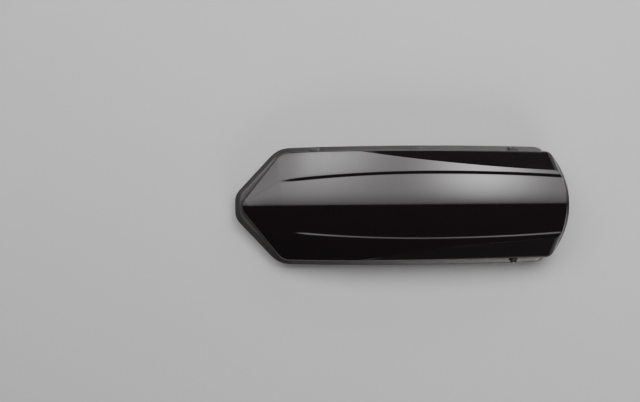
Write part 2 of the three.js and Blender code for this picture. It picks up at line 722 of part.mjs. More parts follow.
const ENDS = ["front", "rear"];
const SIDES = ["lock_side", "hinge_side"];
CLAMP_X.forEach((x, end) => {
  [-CLAMP_Y, CLAMP_Y].forEach((y, side) => {
    const name = `clamp_${ENDS[end]}_${SIDES[side]}`;
    add(`${name}_housing`, clampHousing(x, y), darkPlastic);
    add(`${name}_knob`, clampKnob(x, y), greyPlastic);
    add(`${name}_front_jaw`, clampJaw(x, y, -1), blackSteel);
    add(`${name}_rear_jaw`, clampJaw(x, y, 1), blackSteel);
    const pad = block([x - 19, x + 19], [y - 15, y + 15], [CROSSBAR_TOP, CROSSBAR_TOP + 6]);
    add(`${name}_pad`, pad, softBlack);
  });
});

// ---------- Floor fittings ----------
for (const [name, y] of [
  ["floor_rail_lock_side", -196],
  ["floor_rail_hinge_side", 196],
]) {
  const rail = block([-640, 900], [y - 9, y + 9], [FLOOR_TOP + GAP, FLOOR_TOP + 9]);
  const channel = block([-641, 901], [y - 5, y + 5], [FLOOR_TOP + 4, FLOOR_TOP + 12]);
  add(name, cut(rail, channel), aluminium);
}
add("floor_mat", block([-700, 900], [-182, 182], [FLOOR_TOP + GAP, FLOOR_TOP + 4]), mat);

// Each strap lies across the mat between the rails, with a cam buckle in the middle.
const STRAP_X = [-180, 560];
STRAP_X.forEach((x, index) => {
  const z = FLOOR_TOP + 9 + GAP;
  add(`luggage_strap_${index + 1}`, block([x - 12.5, x + 12.5], [-206, 206], [z, z + 2]), webbing);
  const buckle = block([x - 20, x + 20], [30, 70], [z + 2 + GAP, z + 12]);
  add(`strap_buckle_${index + 1}`, buckle, darkPlastic);
});

export default group;
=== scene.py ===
"""Looks of a hard-shell roof cargo box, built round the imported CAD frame.

Metres. The nose is at -X, the hinge side at +Y.
"""

import json
import math

import bmesh
import bpy
from mathutils import Matrix, Vector


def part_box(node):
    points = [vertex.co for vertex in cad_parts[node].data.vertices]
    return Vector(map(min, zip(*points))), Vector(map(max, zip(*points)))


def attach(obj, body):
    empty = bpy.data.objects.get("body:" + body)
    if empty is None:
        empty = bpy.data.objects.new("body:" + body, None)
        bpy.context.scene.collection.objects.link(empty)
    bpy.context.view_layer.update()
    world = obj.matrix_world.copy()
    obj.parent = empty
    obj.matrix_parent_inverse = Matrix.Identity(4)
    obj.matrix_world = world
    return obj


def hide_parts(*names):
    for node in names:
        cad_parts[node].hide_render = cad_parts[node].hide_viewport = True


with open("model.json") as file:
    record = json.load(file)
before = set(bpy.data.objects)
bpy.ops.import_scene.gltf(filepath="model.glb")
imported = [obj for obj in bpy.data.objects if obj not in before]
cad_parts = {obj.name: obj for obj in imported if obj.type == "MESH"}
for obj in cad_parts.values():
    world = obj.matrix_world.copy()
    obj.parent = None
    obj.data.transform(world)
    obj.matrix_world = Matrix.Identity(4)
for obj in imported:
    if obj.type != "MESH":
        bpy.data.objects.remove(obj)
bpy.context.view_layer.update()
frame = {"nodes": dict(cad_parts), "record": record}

# ---------- Driving dimensions, the same as the CAD model's ----------
SKIN = 0.003
FLOOR_UNDERSIDE = 0.058
FLOOR_TOP = FLOOR_UNDERSIDE + SKIN
LID_EDGE = 0.134
LID_NOSE_X = -1.127
LID_TAIL_X = 1.170
LID_HALF = 0.394
LID_WIDEST_X = -0.100
LID_BOW = 0.0113  # how fast the lid narrows away from its widest place
BAND_NOSE_X = -1.170
BAND_TAIL_X = 1.150
BAND_HALF = 0.425
BAND_BOW = 0.018
TAIL_RADIUS = 0.640
RIDGE_HIGH = 0.3919  # 0.1 mm under the CAD ridge, which its flat facets cut lower
RIDGE_HIGH_X = 0.500
RIDGE_BOW_AHEAD = 0.0831
RIDGE_BOW_BEHIND = 0.0824
PANEL_SLOPE = 0.06
PANEL_CROWN = 0.35
CREASE_HALF = 0.208
CREASE_WIDEST_X = 0.150
CREASE_TAPER = 0.059
CREASE_REAR_BOW = 0.036
CREASE_WIDTH = 0.030
CREASE_RISE = 0.0065
CREASE_FADE_X = (-0.950, -0.650)
WALL_FOOT = 0.014  # how far in from its edge the lid's wall is steep
WALL_POWER = 2.4
FLANK_SLOPE = 0.84
LEAN_START_X = -0.280
LEAN_FRONT = 0.014
LEAN_GAIN = 0.125
TRAY_INSET = 0.018
RIDGE_SOFT = 0.005  # radius that rounds the ridge
CLAMP_X = (-0.411, 0.337)
CLAMP_Y = 0.244
CLAMP_SLOT = (0.122, 0.018)  # half length and half width of each floor slot
LOCK_X = 0.790
LOCK_Z = 0.190

# How finely each stretch of a plan outline is divided.
NOSE_STEPS = 8
SHOULDER_STEPS = 20
SIDE_STEPS = 72
REAR_STEPS = 16
ARC_STEPS = 30


def clamp(value, low, high):
    return min(max(value, low), high)


def smoothstep(value, low, high):
    part = clamp((value - low) / (high - low), 0, 1)
    return part * part * (3 - 2 * part)


def mix(a, b, part):
    return a + (b - a) * part


# ---------- Plan outlines ----------
def rounded_corner(before, corner, after, reach, steps):
    """Points of a quadratic curve that rounds a corner, starting and ending `reach` away from it."""
    corner = Vector(corner)
    start = corner + (Vector(before) - corner).normalized() * reach
    end = corner + (Vector(after) - corner).normalized() * reach
    curve = [step / steps for step in range(steps + 1)]
    return [start * (1 - t) ** 2 + corner * 2 * t * (1 - t) + end * t * t for t in curve]


def half_outline(plan):
    """The half outline with y >= 0, from the nose to the tail."""
    side = plan["side"]
    nose_corner = (plan["nose_x"], plan["nose_half"])
    shoulder = (plan["shoulder_x"], side(plan["shoulder_x"]))
    tail_centre = plan["tail_x"] - TAIL_RADIUS
    rear_x = tail_centre + math.sqrt(TAIL_RADIUS**2 - side(plan["tail_x"] - 0.170) ** 2)
    rear_corner = (rear_x, side(rear_x))
    side_start = plan["shoulder_x"] + plan["shoulder_reach"]
    side_end = rear_x - plan["rear_reach"]

    def arc_point(angle):
        return Vector((tail_centre + TAIL_RADIUS * math.cos(angle), TAIL_RADIUS * math.sin(angle)))

    corner_angle = math.asin(rear_corner[1] / TAIL_RADIUS)
    points = [Vector((plan["nose_x"], 0))]
    points += rounded_corner(points[0], nose_corner, shoulder, plan["nose_reach"], NOSE_STEPS)
    ahead = (side_start, side(side_start))
    points += rounded_corner(nose_corner, shoulder, ahead, plan["shoulder_reach"], SHOULDER_STEPS)
    for step in range(1, SIDE_STEPS):
        x = mix(side_start, side_end, step / SIDE_STEPS)
        points.append(Vector((x, side(x))))
    behind = arc_point(corner_angle - 0.15)
    side_last = (side_end, side(side_end))
    points += rounded_corner(side_last, rear_corner, behind, plan["rear_reach"], REAR_STEPS)
    arc_start = corner_angle - plan["rear_reach"] * 1.1 / TAIL_RADIUS
    points += [arc_point(arc_start * (1 - step / ARC_STEPS)) for step in range(1, ARC_STEPS)]
    points.append(Vector((plan["tail_x"], 0)))
    return points


def lid_side(x):
    return LID_HALF - LID_BOW * (x - LID_WIDEST_X) ** 2


def band_side(x):
    return BAND_HALF - BAND_BOW * x**2


def wall_lean(x):
    """How far the lid's wall leans in; it leans more towards the tail."""
    rearwards = clamp((x - LEAN_START_X) / 1.200, 0, 1.2)
    return LEAN_FRONT + LEAN_GAIN * rearwards * (1.6 - 0.6 * rearwards)


def lid_edge_plan(inset):
    return {
        "nose_x": LID_NOSE_X + inset * 1.2,
        "nose_half": 0.030 - inset * 0.6,
        "nose_reach": 0.028 - inset * 0.6,
        "shoulder_x": -0.838 + inset * 0.4,
        "side": lambda x: lid_side(x) - inset,
        "shoulder_reach": 0.050,
        "rear_reach": 0.034,
        "tail_x": LID_TAIL_X - inset,
    }


def lid_shoulder_plan(inset):
    return {
        "nose_x": LID_NOSE_X + 0.015 + inset * 1.2,
        "nose_half": 0.026 - inset * 0.6,
        "nose_reach": 0.024 - inset * 0.6,
        "shoulder_x": -0.834 + inset * 0.4,
        "side": lambda x: lid_side(x) - wall_lean(x) - inset,
        "shoulder_reach": 0.055,
        "rear_reach": 0.038,
        "tail_x": LID_TAIL_X - 0.034 - inset,
    }


def band_plan(inset):
    return {
        "nose_x": BAND_NOSE_X + inset,
        "nose_half": 0.084 - inset * 0.4,
        "nose_reach": 0.046,
        "shoulder_x": -0.862 + inset * 0.4,
        "side": lambda x: band_side(x) - inset,
        "shoulder_reach": 0.085,
        "rear_reach": 0.060,
        "tail_x": BAND_TAIL_X - inset,
    }


def tray_plan(inset):
    return {
        "nose_x": LID_NOSE_X + 0.006 + inset * 1.25,
        "nose_half": 0.030 - min(inset, 0.040) * 0.3,
        "nose_reach": 0.017,
        "shoulder_x": -0.838 + inset * 0.4,
        "side": lambda x: lid_side(x) - TRAY_INSET - inset,
        "shoulder_reach": 0.060,
        "rear_reach": 0.060,
        "tail_x": LID_TAIL_X - 0.048 - inset,
    }


# ---------- Lid surface ----------
def ridge_height(x):
    bow = RIDGE_BOW_AHEAD if x < RIDGE_HIGH_X else RIDGE_BOW_BEHIND
    return RIDGE_HIGH - bow * (x - RIDGE_HIGH_X) ** 2


def crease_y(x):
    ahead = clamp((CREASE_WIDEST_X - x) / 1.057, 0, 1.2)
    behind = max(x - CREASE_WIDEST_X, 0)
    return CREASE_HALF - CREASE_TAPER * ahead**2 - CREASE_REAR_BOW * behind**2


def skin_height(x, y):
    across = math.hypot(y, RIDGE_SOFT) - RIDGE_SOFT
    step = smoothstep(across, crease_y(x), crease_y(x) + CREASE_WIDTH)
    rise = CREASE_RISE * smoothstep(x, *CREASE_FADE_X)
    return ridge_height(x) - PANEL_SLOPE * across - PANEL_CROWN * across**2 + rise * step


def wall_foot(width):
    return min(0.9, WALL_FOOT / width)


def wall_rise(width, height, part):
    """Height of the lid's wall above its edge, at `part` of the way from the edge to the shoulder."""
    flank = min(FLANK_SLOPE * width, 0.6 * height)
    roll = 1 - (1 - min(1, part / wall_foot(width))) ** WALL_POWER
    return flank * part + (height - flank) * roll


# Where the rows of points across the wall and the shoulder lie, as shares of each stretch.
FOOT_PARTS = [0, 0.03, 0.07, 0.12, 0.18, 0.25, 0.33, 0.42, 0.52, 0.63, 0.75, 0.88, 1]
FLANK_PARTS = [0.08, 0.2, 0.35, 0.5, 0.65, 0.8, 0.92, 0.985, 0.998, 1]
SHOULDER_PARTS = [0.003, 0.03, 0.12, 0.25, 0.4, 0.55, 0.7, 0.85, 0.96]
PANEL_STEPS = 22
CREASE_STEPS = 10
SPINE_AHEAD = 0.050  # the ridge starts this far behind the lid's tip
SPINE_SHORTER = 0.110  # and is this much shorter than the lid


def lid_row(edge, shoulder, spine_x, thickness):
    """Points from the lid's edge up its wall and over to the ridge."""
    row = []
    width = (edge - shoulder).length
    height = skin_height(*shoulder) - LID_EDGE
    foot = wall_foot(width)
    parts = [foot * part for part in FOOT_PARTS] + [mix(foot, 1, part) for part in FLANK_PARTS]
    for part in parts:
        x = mix(edge.x, shoulder.x, part)
        y = mix(edge.y, shoulder.y, part)
        z = LID_EDGE + wall_rise(width, height, part) - thickness * part
        row.append(Vector((x, y, z)))
    crease = crease_y(shoulder.x)
    inner = min(crease, shoulder.y * 0.76)
    outer = min(crease + CREASE_WIDTH, shoulder.y * 0.9)
    levels = [mix(shoulder.y, outer, part) for part in SHOULDER_PARTS]
    levels += [mix(outer, inner, step / CREASE_STEPS) for step in range(CREASE_STEPS + 1)]
    levels += [inner * (1 - step / PANEL_STEPS) for step in range(1, PANEL_STEPS)]
    levels += [min(0.006, inner * 0.03), min(0.003, inner * 0.015), 0]
    for y in levels:
        part = 1 - y / shoulder.y if shoulder.y > 0 else 1
        x = mix(shoulder.x, spine_x, part)
        row.append(Vector((x, y, skin_height(x, y) - thickness)))
    return row


def lid_rows(inset):
    edge = half_outline(lid_edge_plan(inset))
    shoulder = half_outline(lid_shoulder_plan(inset))
    first, length = edge[0].x, edge[-1].x - edge[0].x
    rows = []
    for index, point in enumerate(edge):
        spine_x = first + SPINE_AHEAD + (point.x - first) / length * (length - SPINE_SHORTER)
        row = lid_row(point, shoulder[index], spine_x, inset)
        if index in (0, len(edge) - 1):
            walls = len(FOOT_PARTS) + len(FLANK_PARTS)
            tops = len(row) - walls
            for place in range(walls, len(row)):
                x = mix(shoulder[index].x, spine_x, (place - walls + 1) / tops)
                row[place] = Vector((x, 0, skin_height(x, 0) - inset))
        rows.append(row)
    return rows


# ---------- Mesh making ----------
CUT_EDGE_ANGLE = math.radians(70)  # a corner sharper than this is shaded as an edge


def mesh_object(name, vertices, faces, merge=1e-5, smooth=True):
    mesh = bpy.data.meshes.new(name)
    mesh.from_pydata(vertices, [], faces)
    piece = bpy.data.objects.new(name, mesh)
    bpy.context.scene.collection.objects.link(piece)
    if merge:
        tool = bmesh.new()
        tool.from_mesh(mesh)
        bmesh.ops.remove_doubles(tool, verts=tool.verts, dist=merge)
        bmesh.ops.dissolve_degenerate(tool, edges=tool.edges, dist=merge)
        bmesh.ops.recalc_face_normals(tool, faces=tool.faces)
        tool.to_mesh(mesh)
        tool.free()
    for polygon in mesh.polygons:
        polygon.use_smooth = smooth
    return piece


def loft(name, loops, caps=False):
    """A surface through closed loops that all have the same number of points."""
    count = len(loops[0])
    vertices = [tuple(point) for loop in loops for point in loop]
    faces = []
    for level in range(len(loops) - 1):
        for place in range(count):
            following = (place + 1) % count
            here, above = level * count, (level + 1) * count
            faces.append((here + place, here + following, above + following, above + place))
    if caps:
        faces.append(tuple(range(count)))
        faces.append(tuple(reversed(range((len(loops) - 1) * count, len(loops) * count))))
    return mesh_object(name, vertices, faces)


def ring(plan, z):
    half = half_outline(plan)
    mirrored = [Vector((p.x, -p.y)) for p in reversed(half[1:-1])]
    return [(p.x, p.y, z) for p in half + mirrored]


def cut_with(piece, cutter):
    """Cuts the cutter's shape out of the piece, then throws the cutter away."""
    modifier = piece.modifiers.new("cut", "BOOLEAN")
    modifier.operation = "DIFFERENCE"
    modifier.solver = "EXACT"
    modifier.object = cutter
    apply_modifiers(piece)
    piece.data.set_sharp_from_angle(angle=CUT_EDGE_ANGLE)
    bpy.data.objects.remove(cutter)


def apply_modifiers(piece):
    bpy.context.view_layer.update()
    graph = bpy.context.evaluated_depsgraph_get()
    made = bpy.data.meshes.new_from_object(piece.evaluated_get(graph))
    piece.modifiers.clear()
    old = piece.data
    piece.data = made
    bpy.data.meshes.remove(old)


def rounded_slab(name, centre, half_size, low, high, radius, steps=8):
    """A flat slab with round corners in plan."""
    points = []
    for quarter in range(4):
        across = 1 if quarter in (0, 3) else -1
        along = 1 if quarter in (0, 1) else -1
        for step in range(steps + 1):
            angle = (quarter + step / steps) * math.pi / 2
            x = centre[0] + across * (half_size[0] - radius) + radius * math.cos(angle)
            y = centre[1] + along * (half_size[1] - radius) + radius * math.sin(angle)
            points.append((x, y))
    loops = [[(x, y, z) for x, y in points] for z in (low, high)]
    return loft(name, loops, caps=True)


# ---------- Materials ----------
class Nodes:
    """Short-hand for building one material's node tree."""

    def __init__(self, name):
        self.material = bpy.data.materials.new(name)
        self.material.use_nodes = True
        self.tree = self.material.node_tree
        self.shader = self.tree.nodes["Principled BSDF"]
        self.coords = self.tree.nodes.new("ShaderNodeTexCoord").outputs["Object"]

    def node(self, kind, inputs=None, **settings):
        made = self.tree.nodes.new(kind)
        for key, value in settings.items():
            setattr(made, key, value)
        for key, value in (inputs or {}).items():
            if isinstance(value, bpy.types.NodeSocket):
                self.tree.links.new(value, made.inputs[key])
            else:
                made.inputs[key].default_value = value
        return made

    def noise(self, scale, detail=3, roughness=0.5, stretch=(1, 1, 1)):
        vector = self.node("ShaderNodeMapping", {"Vector": self.coords, "Scale": stretch}).outputs[0]
        inputs = {"Vector": vector, "Scale": scale, "Detail": detail, "Roughness": roughness}
        return self.node("ShaderNodeTexNoise", inputs).outputs["Fac"]

    def ramp(self, value, low, high, to_low=0.0, to_high=1.0):
        inputs = {"Value": value, 1: low, 2: high, 3: to_low, 4: to_high}
        return self.node("ShaderNodeMapRange", inputs).outputs[0]

    def math(self, operation, a, b):
        return self.node("ShaderNodeMath", {0: a, 1: b}, operation=operation).outputs[0]

    def colour(self, part, a, b):
        mixer = self.node("ShaderNodeMix", data_type="RGBA")
        self.tree.links.new(part, mixer.inputs[0])
        mixer.inputs[6].default_value = (*a, 1)
        mixer.inputs[7].default_value = (*b, 1)
        return mixer.outputs[2]

    def bump(self, height, distance, strength=1.0, normal=None):
        inputs = {"Height": height, "Distance": distance, "Strength": strength}
        if normal is not None:
            inputs["Normal"] = normal
        return self.node("ShaderNodeBump", inputs).outputs[0]

    def set(self, **values):
        for key, value in values.items():
            socket = self.shader.inputs[key.replace("_", " ")]
            if isinstance(value, bpy.types.NodeSocket):
                self.tree.links.new(value, socket)
            else:
                socket.default_value = value
        return self.material


def gloss_lid_material():
    n = Nodes("gloss_black_shell")
    tone = n.colour(n.noise(2.2, 4), (0.0040, 0.0028, 0.0032), (0.0062, 0.0044, 0.0050))
    smears = n.ramp(n.noise(9, 6, 0.6, (1, 0.35, 1)), 0.35, 0.75, 0.085, 0.13)
    peel = n.bump(n.noise(420, 2), 0.00002, 0.35)
    return n.set(Base_Color=tone, Roughness=smears, Normal=peel, IOR=1.5)


def grained_plastic(name, dark, light, grain_scale, depth, roughness):
    n = Nodes(name)
    tone = n.colour(n.ramp(n.noise(6, 5), 0.3, 0.7), dark, light)
    cells = n.node("ShaderNodeTexVoronoi", {"Vector": n.coords, "Scale": grain_scale}).outputs["Distance"]
    fine = n.noise(grain_scale * 2.5, 2)
    height = n.math("ADD", cells, fine)
    rough = n.ramp(n.noise(40, 4), 0.3, 0.7, roughness - 0.06, roughness + 0.06)
    return n.set(Base_Color=tone, Roughness=rough, Normal=n.bump(height, depth))


def metal(name, dark, light, roughness, stretch, metallic=1.0):
    n = Nodes(name)
    streaks = n.noise(160, 3, 0.6, stretch)
    tone = n.colour(n.ramp(streaks, 0.3, 0.7), dark, light)
    rough = n.ramp(streaks, 0.3, 0.7, roughness - 0.06, roughness + 0.08)
    return n.set(Base_Color=tone, Roughness=rough, Metallic=metallic, Normal=n.bump(streaks, 0.00004, 0.5))


def powder_coat():
    n = Nodes("black_powder_coat")
    tone = n.colour(n.noise(30, 4), (0.010, 0.010, 0.011), (0.018, 0.018, 0.019))
    return n.set(Base_Color=tone, Roughness=n.ramp(n.noise(55, 3), 0.3, 0.7, 0.32, 0.46),
                 Normal=n.bump(n.noise(900, 2), 0.00008, 0.7))


def rubber():
    n = Nodes("black_rubber")
    tone = n.colour(n.noise(25, 4), (0.010, 0.010, 0.010), (0.019, 0.018, 0.018))
    return n.set(Base_Color=tone, Roughness=n.ramp(n.noise(80, 3), 0.3, 0.7, 0.72, 0.86),
                 Normal=n.bump(n.noise(1400, 2), 0.00006, 0.6))


def mat_rubber():
    n = Nodes("ribbed_mat")
    tone = n.colour(n.noise(18, 5), (0.034, 0.035, 0.038), (0.052, 0.053, 0.057))
    return n.set(Base_Color=tone, Roughness=n.ramp(n.noise(60, 4), 0.3, 0.7, 0.78, 0.92),
                 Normal=n.bump(n.noise(700, 3), 0.0001, 0.8))


def webbing():
    n = Nodes("woven_webbing")
    ribs = n.node("ShaderNodeTexWave", {"Vector": n.coords, "Scale": 260, "Distortion": 0.4},
                  bands_direction="Y").outputs["Fac"]
    warp = n.node("ShaderNodeTexWave", {"Vector": n.coords, "Scale": 420, "Distortion": 0.3},
                  bands_direction="X").outputs["Fac"]
    weave = n.math("MULTIPLY", ribs, warp)
    tone = n.colour(weave, (0.055, 0.058, 0.064), (0.150, 0.155, 0.165))
    return n.set(Base_Color=tone, Roughness=0.85, Sheen_Weight=0.3, Normal=n.bump(weave, 0.0003, 0.8))


MATERIALS = {
    "gloss_black": gloss_lid_material(),
    "textured_black": grained_plastic(
        "textured_black_tray", (0.020, 0.0195, 0.0185), (0.030, 0.029, 0.0275), 900, 0.00010, 0.36
    ),
    "soft_black": rubber(),
    "dark_plastic": grained_plastic(
        "dark_nylon", (0.018, 0.018, 0.019), (0.030, 0.030, 0.032), 1500, 0.00005, 0.48
    ),
    "grey_plastic": grained_plastic(
        "grey_nylon", (0.085, 0.090, 0.095), (0.115, 0.120, 0.126), 1500, 0.00005, 0.45
    ),
    "aluminium": metal("satin_aluminium", (0.50, 0.51, 0.52), (0.62, 0.62, 0.63), 0.34, (0.04, 1, 1)),
    "steel": metal("zinc_plated_steel", (0.40, 0.41, 0.42), (0.56, 0.56, 0.56), 0.32, (0.05, 1, 1)),
    "black_steel": powder_coat(),
    "cast_metal": metal(
        "satin_black_zinc", (0.040, 0.041, 0.044), (0.060, 0.061, 0.064), 0.30, (1, 1, 1), metallic=0.7
    ),
    "chrome": metal("polished_chrome", (0.70, 0.71, 0.72), (0.82, 0.82, 0.82), 0.10, (1, 1, 1)),
    "webbing": webbing(),
    "mat": mat_rubber(),
}
SLOT_OF = {part["node"]: part["material_slot"] for part in frame["record"]["subparts"]}


def dress(piece, slot):
    piece.data.materials.clear()
    piece.data.materials.append(MATERIALS[slot])


# ---------- Lid ----------
LIP_DEPTH = 0.0015  # the lid's edge ends in a half round this deep
LIP_SHARES = (0.2, 0.5, 0.8)
LIP_DROPS = (0.0011, LIP_DEPTH, 0.0011)
LOCK_HOLE_RADIUS = 0.016
LOCK_HOLE_Y = -0.350
LOCK_HOLE_DEPTH = 0.140


def lock_hole_cutter():
    hole = bpy.data.meshes.new("hole")
    tool = bmesh.new()
    bmesh.ops.create_cone(
        tool,
        cap_ends=True,
        segments=48,
        radius1=LOCK_HOLE_RADIUS,
        radius2=LOCK_HOLE_RADIUS,
        depth=LOCK_HOLE_DEPTH,
    )
    tool.to_mesh(hole)
    tool.free()
    cutter = bpy.data.objects.new("hole", hole)
    bpy.context.scene.collection.objects.link(cutter)
    turn = Matrix.Rotation(math.pi / 2, 4, "X")
    cutter.matrix_world = Matrix.Translation((LOCK_X, LOCK_HOLE_Y, LOCK_Z)) @ turn
    return cutter


def make_lid():
    outer = lid_rows(0)
    inner = lid_rows(SKIN)
    lips = [half_outline(lid_edge_plan(SKIN * part)) for part in LIP_SHARES]
    loops = []
    for index, row in enumerate(outer):
        lip = []
        for outline, drop in zip(lips, LIP_DROPS):
            lip.append(Vector((outline[index].x, outline[index].y, LID_EDGE - drop + LIP_DEPTH)))
        start = [Vector((p.x, p.y, p.z)) for p in row]
        start[0].z += LIP_DEPTH
        under = [Vector((p.x, p.y, p.z)) for p in inner[index]]
        under[0].z += LIP_DEPTH
        half = list(reversed(start)) + lip + under
        other = [Vector((p.x, -p.y, p.z)) for p in reversed(half)]
        loops.append(half + other)
    lid = loft("lid", loops)
    cut_with(lid, lock_hole_cutter())
    dress(lid, "gloss_black")
    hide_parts("lid_shell")
    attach(lid, "lid")


# ---------- Tray ----------
# The tray's section as (plan, inset, height): the underside from the middle of the floor out to the rim's
# lip, then the top side back in over the bead, the gutter and the seal's ledge to the floor.
TRAY_PROFILE = [
    (tray_plan, 0.1200, 0.0580),
    (tray_plan, 0.0945, 0.0580),
    (tray_plan, 0.0905, 0.0584),
    (tray_plan, 0.0860, 0.0602),
    (tray_plan, 0.0800, 0.0652),
    (tray_plan, 0.0740, 0.0722),
    (tray_plan, 0.0570, 0.0955),
    (tray_plan, 0.0410, 0.1176),
    (tray_plan, 0.0402, 0.1195),
    (tray_plan, 0.0400, 0.1410),
    (tray_plan, 0.0385, 0.1428),
    (tray_plan, 0.0150, 0.1430),
    (tray_plan, 0.0136, 0.1415),
    (tray_plan, 0.0135, 0.1285),
    (tray_plan, 0.0142, 0.1268),
    (band_plan, 0.0392, 0.1266),
    (band_plan, 0.0328, 0.1252),
    (band_plan, 0.0200, 0.1178),
    (band_plan, 0.0082, 0.1110),
    (band_plan, 0.0052, 0.1080),
    (band_plan, 0.0042, 0.1040),
    (band_plan, 0.0048, 0.0960),
    (band_plan, 0.0058, 0.0855),
    (band_plan, 0.0052, 0.0842),
    (band_plan, 0.0040, 0.0840),
    (band_plan, 0.0028, 0.0842),
    (band_plan, 0.0020, 0.0855),
    (band_plan, 0.0006, 0.0960),
    (band_plan, 0.0001, 0.1030),
    (band_plan, 0.0004, 0.1072),
    (band_plan, 0.0014, 0.1102),
    (band_plan, 0.0034, 0.1122),
    (band_plan, 0.0060, 0.1138),
    (band_plan, 0.0110, 0.1166),
    (band_plan, 0.0170, 0.1200),
    (band_plan, 0.0230, 0.1234),
    (band_plan, 0.0280, 0.1263),
    (band_plan, 0.0310, 0.1278),
    (band_plan, 0.0340, 0.1290),
    (band_plan, 0.0365, 0.1297),
    (band_plan, 0.0400, 0.1300),
    (tray_plan, 0.0135, 0.1300),
    (tray_plan, 0.0112, 0.1306),
    (tray_plan, 0.0105, 0.1322),
    (tray_plan, 0.0102, 0.1430),
    (tray_plan, 0.0108, 0.1452),
    (tray_plan, 0.0130, 0.1460),
    (tray_plan, 0.0390, 0.1460),
    (tray_plan, 0.0418, 0.1452),
    (tray_plan, 0.0430, 0.1430),
    (tray_plan, 0.0438, 0.1200),
    (tray_plan, 0.0450, 0.1176),
    (tray_plan, 0.0610, 0.0958),
    (tray_plan, 0.0775, 0.0735),
    (tray_plan, 0.0820, 0.0682),
    (tray_plan, 0.0865, 0.0642),
    (tray_plan, 0.0910, 0.0620),
    (tray_plan, 0.0950, 0.0611),
    (tray_plan, 0.1000, 0.0610),
    (tray_plan, 0.1200, 0.0610),
]


SLOT_CUT = (0.050, 0.070)  # from below the floor to above it
SLOT_CORNER = 0.017


def make_tray():
    loops = [ring(plan(inset), z) for plan, inset, z in TRAY_PROFILE]
    tray = loft("tray", loops, caps=True)
    for x in CLAMP_X:
        for y in (-CLAMP_Y, CLAMP_Y):
            cut_with(tray, rounded_slab("slot", (x, y), CLAMP_SLOT, *SLOT_CUT, SLOT_CORNER))
    dress(tray, "textured_black")
    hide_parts("base_tray")
    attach(tray, "tray")


# ---------- Small parts: CAD shapes with softened edges ----------
def soften(piece, width):
    """Rounds the piece's sharp edges over."""
    for polygon in piece.data.polygons:
        polygon.use_smooth = True
    bevel = piece.modifiers.new("edges", "BEVEL")
    bevel.width = width
    bevel.segments = 2
    bevel.limit_method = "ANGLE"
    bevel.angle_limit = math.radians(32)
    bevel.harden_normals = True
    apply_modifiers(piece)
    return piece


def refine(node, width):
    """A copy of a CAD node with its sharp edges rounded over."""
    source = frame["nodes"][node]
    mesh = source.data.copy()
    piece = bpy.data.objects.new(f"{node}_piece", mesh)
    bpy.context.scene.collection.objects.link(piece)
    tool = bmesh.new()
    tool.from_mesh(mesh)
    bmesh.ops.remove_doubles(tool, verts=tool.verts, dist=1e-6)
    bmesh.ops.dissolve_limit(tool, angle_limit=math.radians(1.5), verts=tool.verts, edges=tool.edges)
    tool.to_mesh(mesh)
    tool.free()
    soften(piece, width)
    dress(piece, SLOT_OF[node])
    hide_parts(node)
    body = next(name for name, nodes in frame["record"]["behaviour"]["bodies"].items() if node in nodes)
    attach(piece, body)
    return piece


def join(name, pieces):
    """One object out of several."""
    tool = bmesh.new()
    for piece in pieces:
        tool.from_mesh(piece.data)
        bpy.data.objects.remove(piece)
    mesh = bpy.data.meshes.new(name)
    tool.to_mesh(mesh)
    tool.free()
    joined = bpy.data.objects.new(name, mesh)
    bpy.context.scene.collection.objects.link(joined)
    return joined


def add_to(piece, slot, body, node=None):
    dress(piece, slot)
    if node:
        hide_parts(node)
    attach(piece, body)


def button(centre, axis, radius, height, steps=16):
    """A flat-domed rivet head standing on a face at `centre`, pointing along `axis`."""
    turn = Vector((0, 0, 1)).rotation_difference(Vector(axis)).to_matrix()
    levels = ((1.0, 0.0), (1.0, 0.45), (0.9, 0.75), (0.65, 0.93), (0.3, 1.0))
    loops = []
    for share, rise in levels:
        loop = []
        for step in range(steps):
            angle = 2 * math.pi * step / steps
            reach = radius * share
            local = Vector((reach * math.cos(angle), reach * math.sin(angle), height * rise))
            loop.append(tuple(Vector(centre) + turn @ local))
        loops.append(loop)
    return loft("rivet", loops, caps=True)


# ---------- Fittings with their own shapes ----------
SEAL_PROFILE = [
    (0.0182, 0.1463), (0.0180, 0.1485), (0.0189, 0.1504), (0.0212, 0.1517), (0.0245, 0.1520),
    (0.0278, 0.1517), (0.0301, 0.1504), (0.0310, 0.1485), (0.0308, 0.1463), (0.0182, 0.1463),
]
MAT_X = (-0.700, 0.900)
MAT_HALF = 0.182
MAT_PITCH = 0.014
MAT_RIBS = 25
MAT_GAP = 0.0003
MAT_RIB_TOP = FLOOR_TOP + 0.004
MAT_GROOVE = FLOOR_TOP + 0.0029
MAT_CHAMFER = 0.0005
GROOVE_STEPS = (0.0006, 0.0044, 0.0050)  # across one groove: down to its floor, along it, back up
STRAP_X = (-0.180, 0.560)
STRAP_TOP = 0.0723
BUCKLE_Y = 0.050
BUCKLE_HALF = (0.0200, 0.0200)
BUCKLE_Z = (STRAP_TOP + 0.0003, STRAP_TOP + 0.0040)
LEVER_SHIFT = 0.002
LEVER_HALF = (0.0150, 0.0160)
LEVER_Z = (STRAP_TOP + 0.0035, STRAP_TOP + 0.0085)
LEVER_RIBS = 6
LEVER_RIB_START = -0.009
LEVER_RIB_PITCH = 0.0045
LEVER_RIB_HALF = (0.0125, 0.0011)
LEVER_RIB_Z = (STRAP_TOP + 0.0080, STRAP_TOP + 0.0096)
CLIP_Y = 0.197
CLIP_HALF = (0.0165, 0.0100)
CLIP_Z = (STRAP_TOP - 0.0020, STRAP_TOP + 0.0022)
TAIL_Y = -0.012
TAIL_HALF = (0.0115, 0.052)
TAIL_Z = (STRAP_TOP + 0.0002, STRAP_TOP + 0.0016)
HINGE_X = (-0.600, 0.120, 0.800)
HINGE_FACE = 0.4025
HINGE_RIVET_X = (-0.024, 0.024)
HINGE_RIVET_Z = (0.151, 0.165)
STRUT_X = (-0.250, 0.760)
